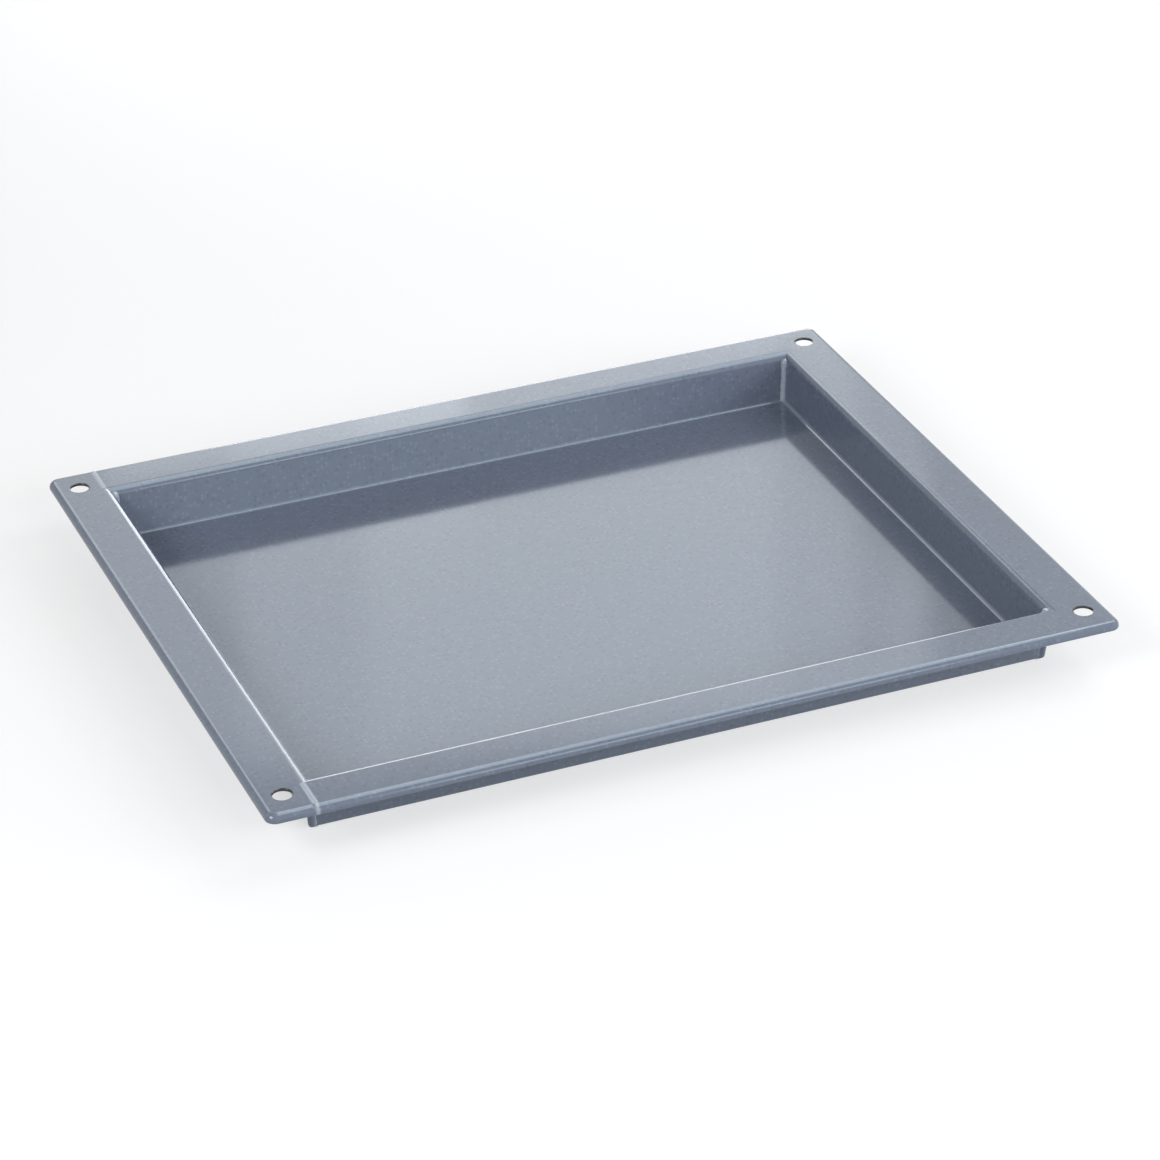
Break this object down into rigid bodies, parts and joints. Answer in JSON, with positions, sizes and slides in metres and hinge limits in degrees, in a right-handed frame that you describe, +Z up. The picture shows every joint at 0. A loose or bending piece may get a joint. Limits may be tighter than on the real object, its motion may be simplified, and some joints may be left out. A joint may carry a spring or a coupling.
{
  "type": "gastronorm tray",
  "caption": "Shallow rectangular tray of enamelled sheet steel with a wide flat flange, a turned-down lip, sloping walls, welded corners and a hanging hole in each rim corner.",
  "frame": {"origin": "middle of the underside of the floor, which is the face that the tray stands on", "axes": "+X along the long side, +Y from the front to the back, +Z up out of the pan"},
  "size_m": [0.325, 0.265, 0.0212],
  "materials": {
    "enamelled_sheet": "glossy grey-blue vitreous enamel with fine pale speckle over sheet steel",
    "enamelled_weld": "the same enamel, a little paler over the weld bead"
  },
  "bodies": {
    "root": {"pan_body": "enamelled_sheet", "front_panel": "enamelled_sheet", "back_panel": "enamelled_sheet", "floor_weld_front": "enamelled_weld", "floor_weld_back": "enamelled_weld", "corner_weld_front_left": "enamelled_weld", "corner_weld_front_right": "enamelled_weld", "corner_weld_back_left": "enamelled_weld", "corner_weld_back_right": "enamelled_weld", "rim_weld_front_left": "enamelled_weld", "rim_weld_front_right": "enamelled_weld", "rim_weld_back_left": "enamelled_weld", "rim_weld_back_right": "enamelled_weld"}
  },
  "joints": []
}
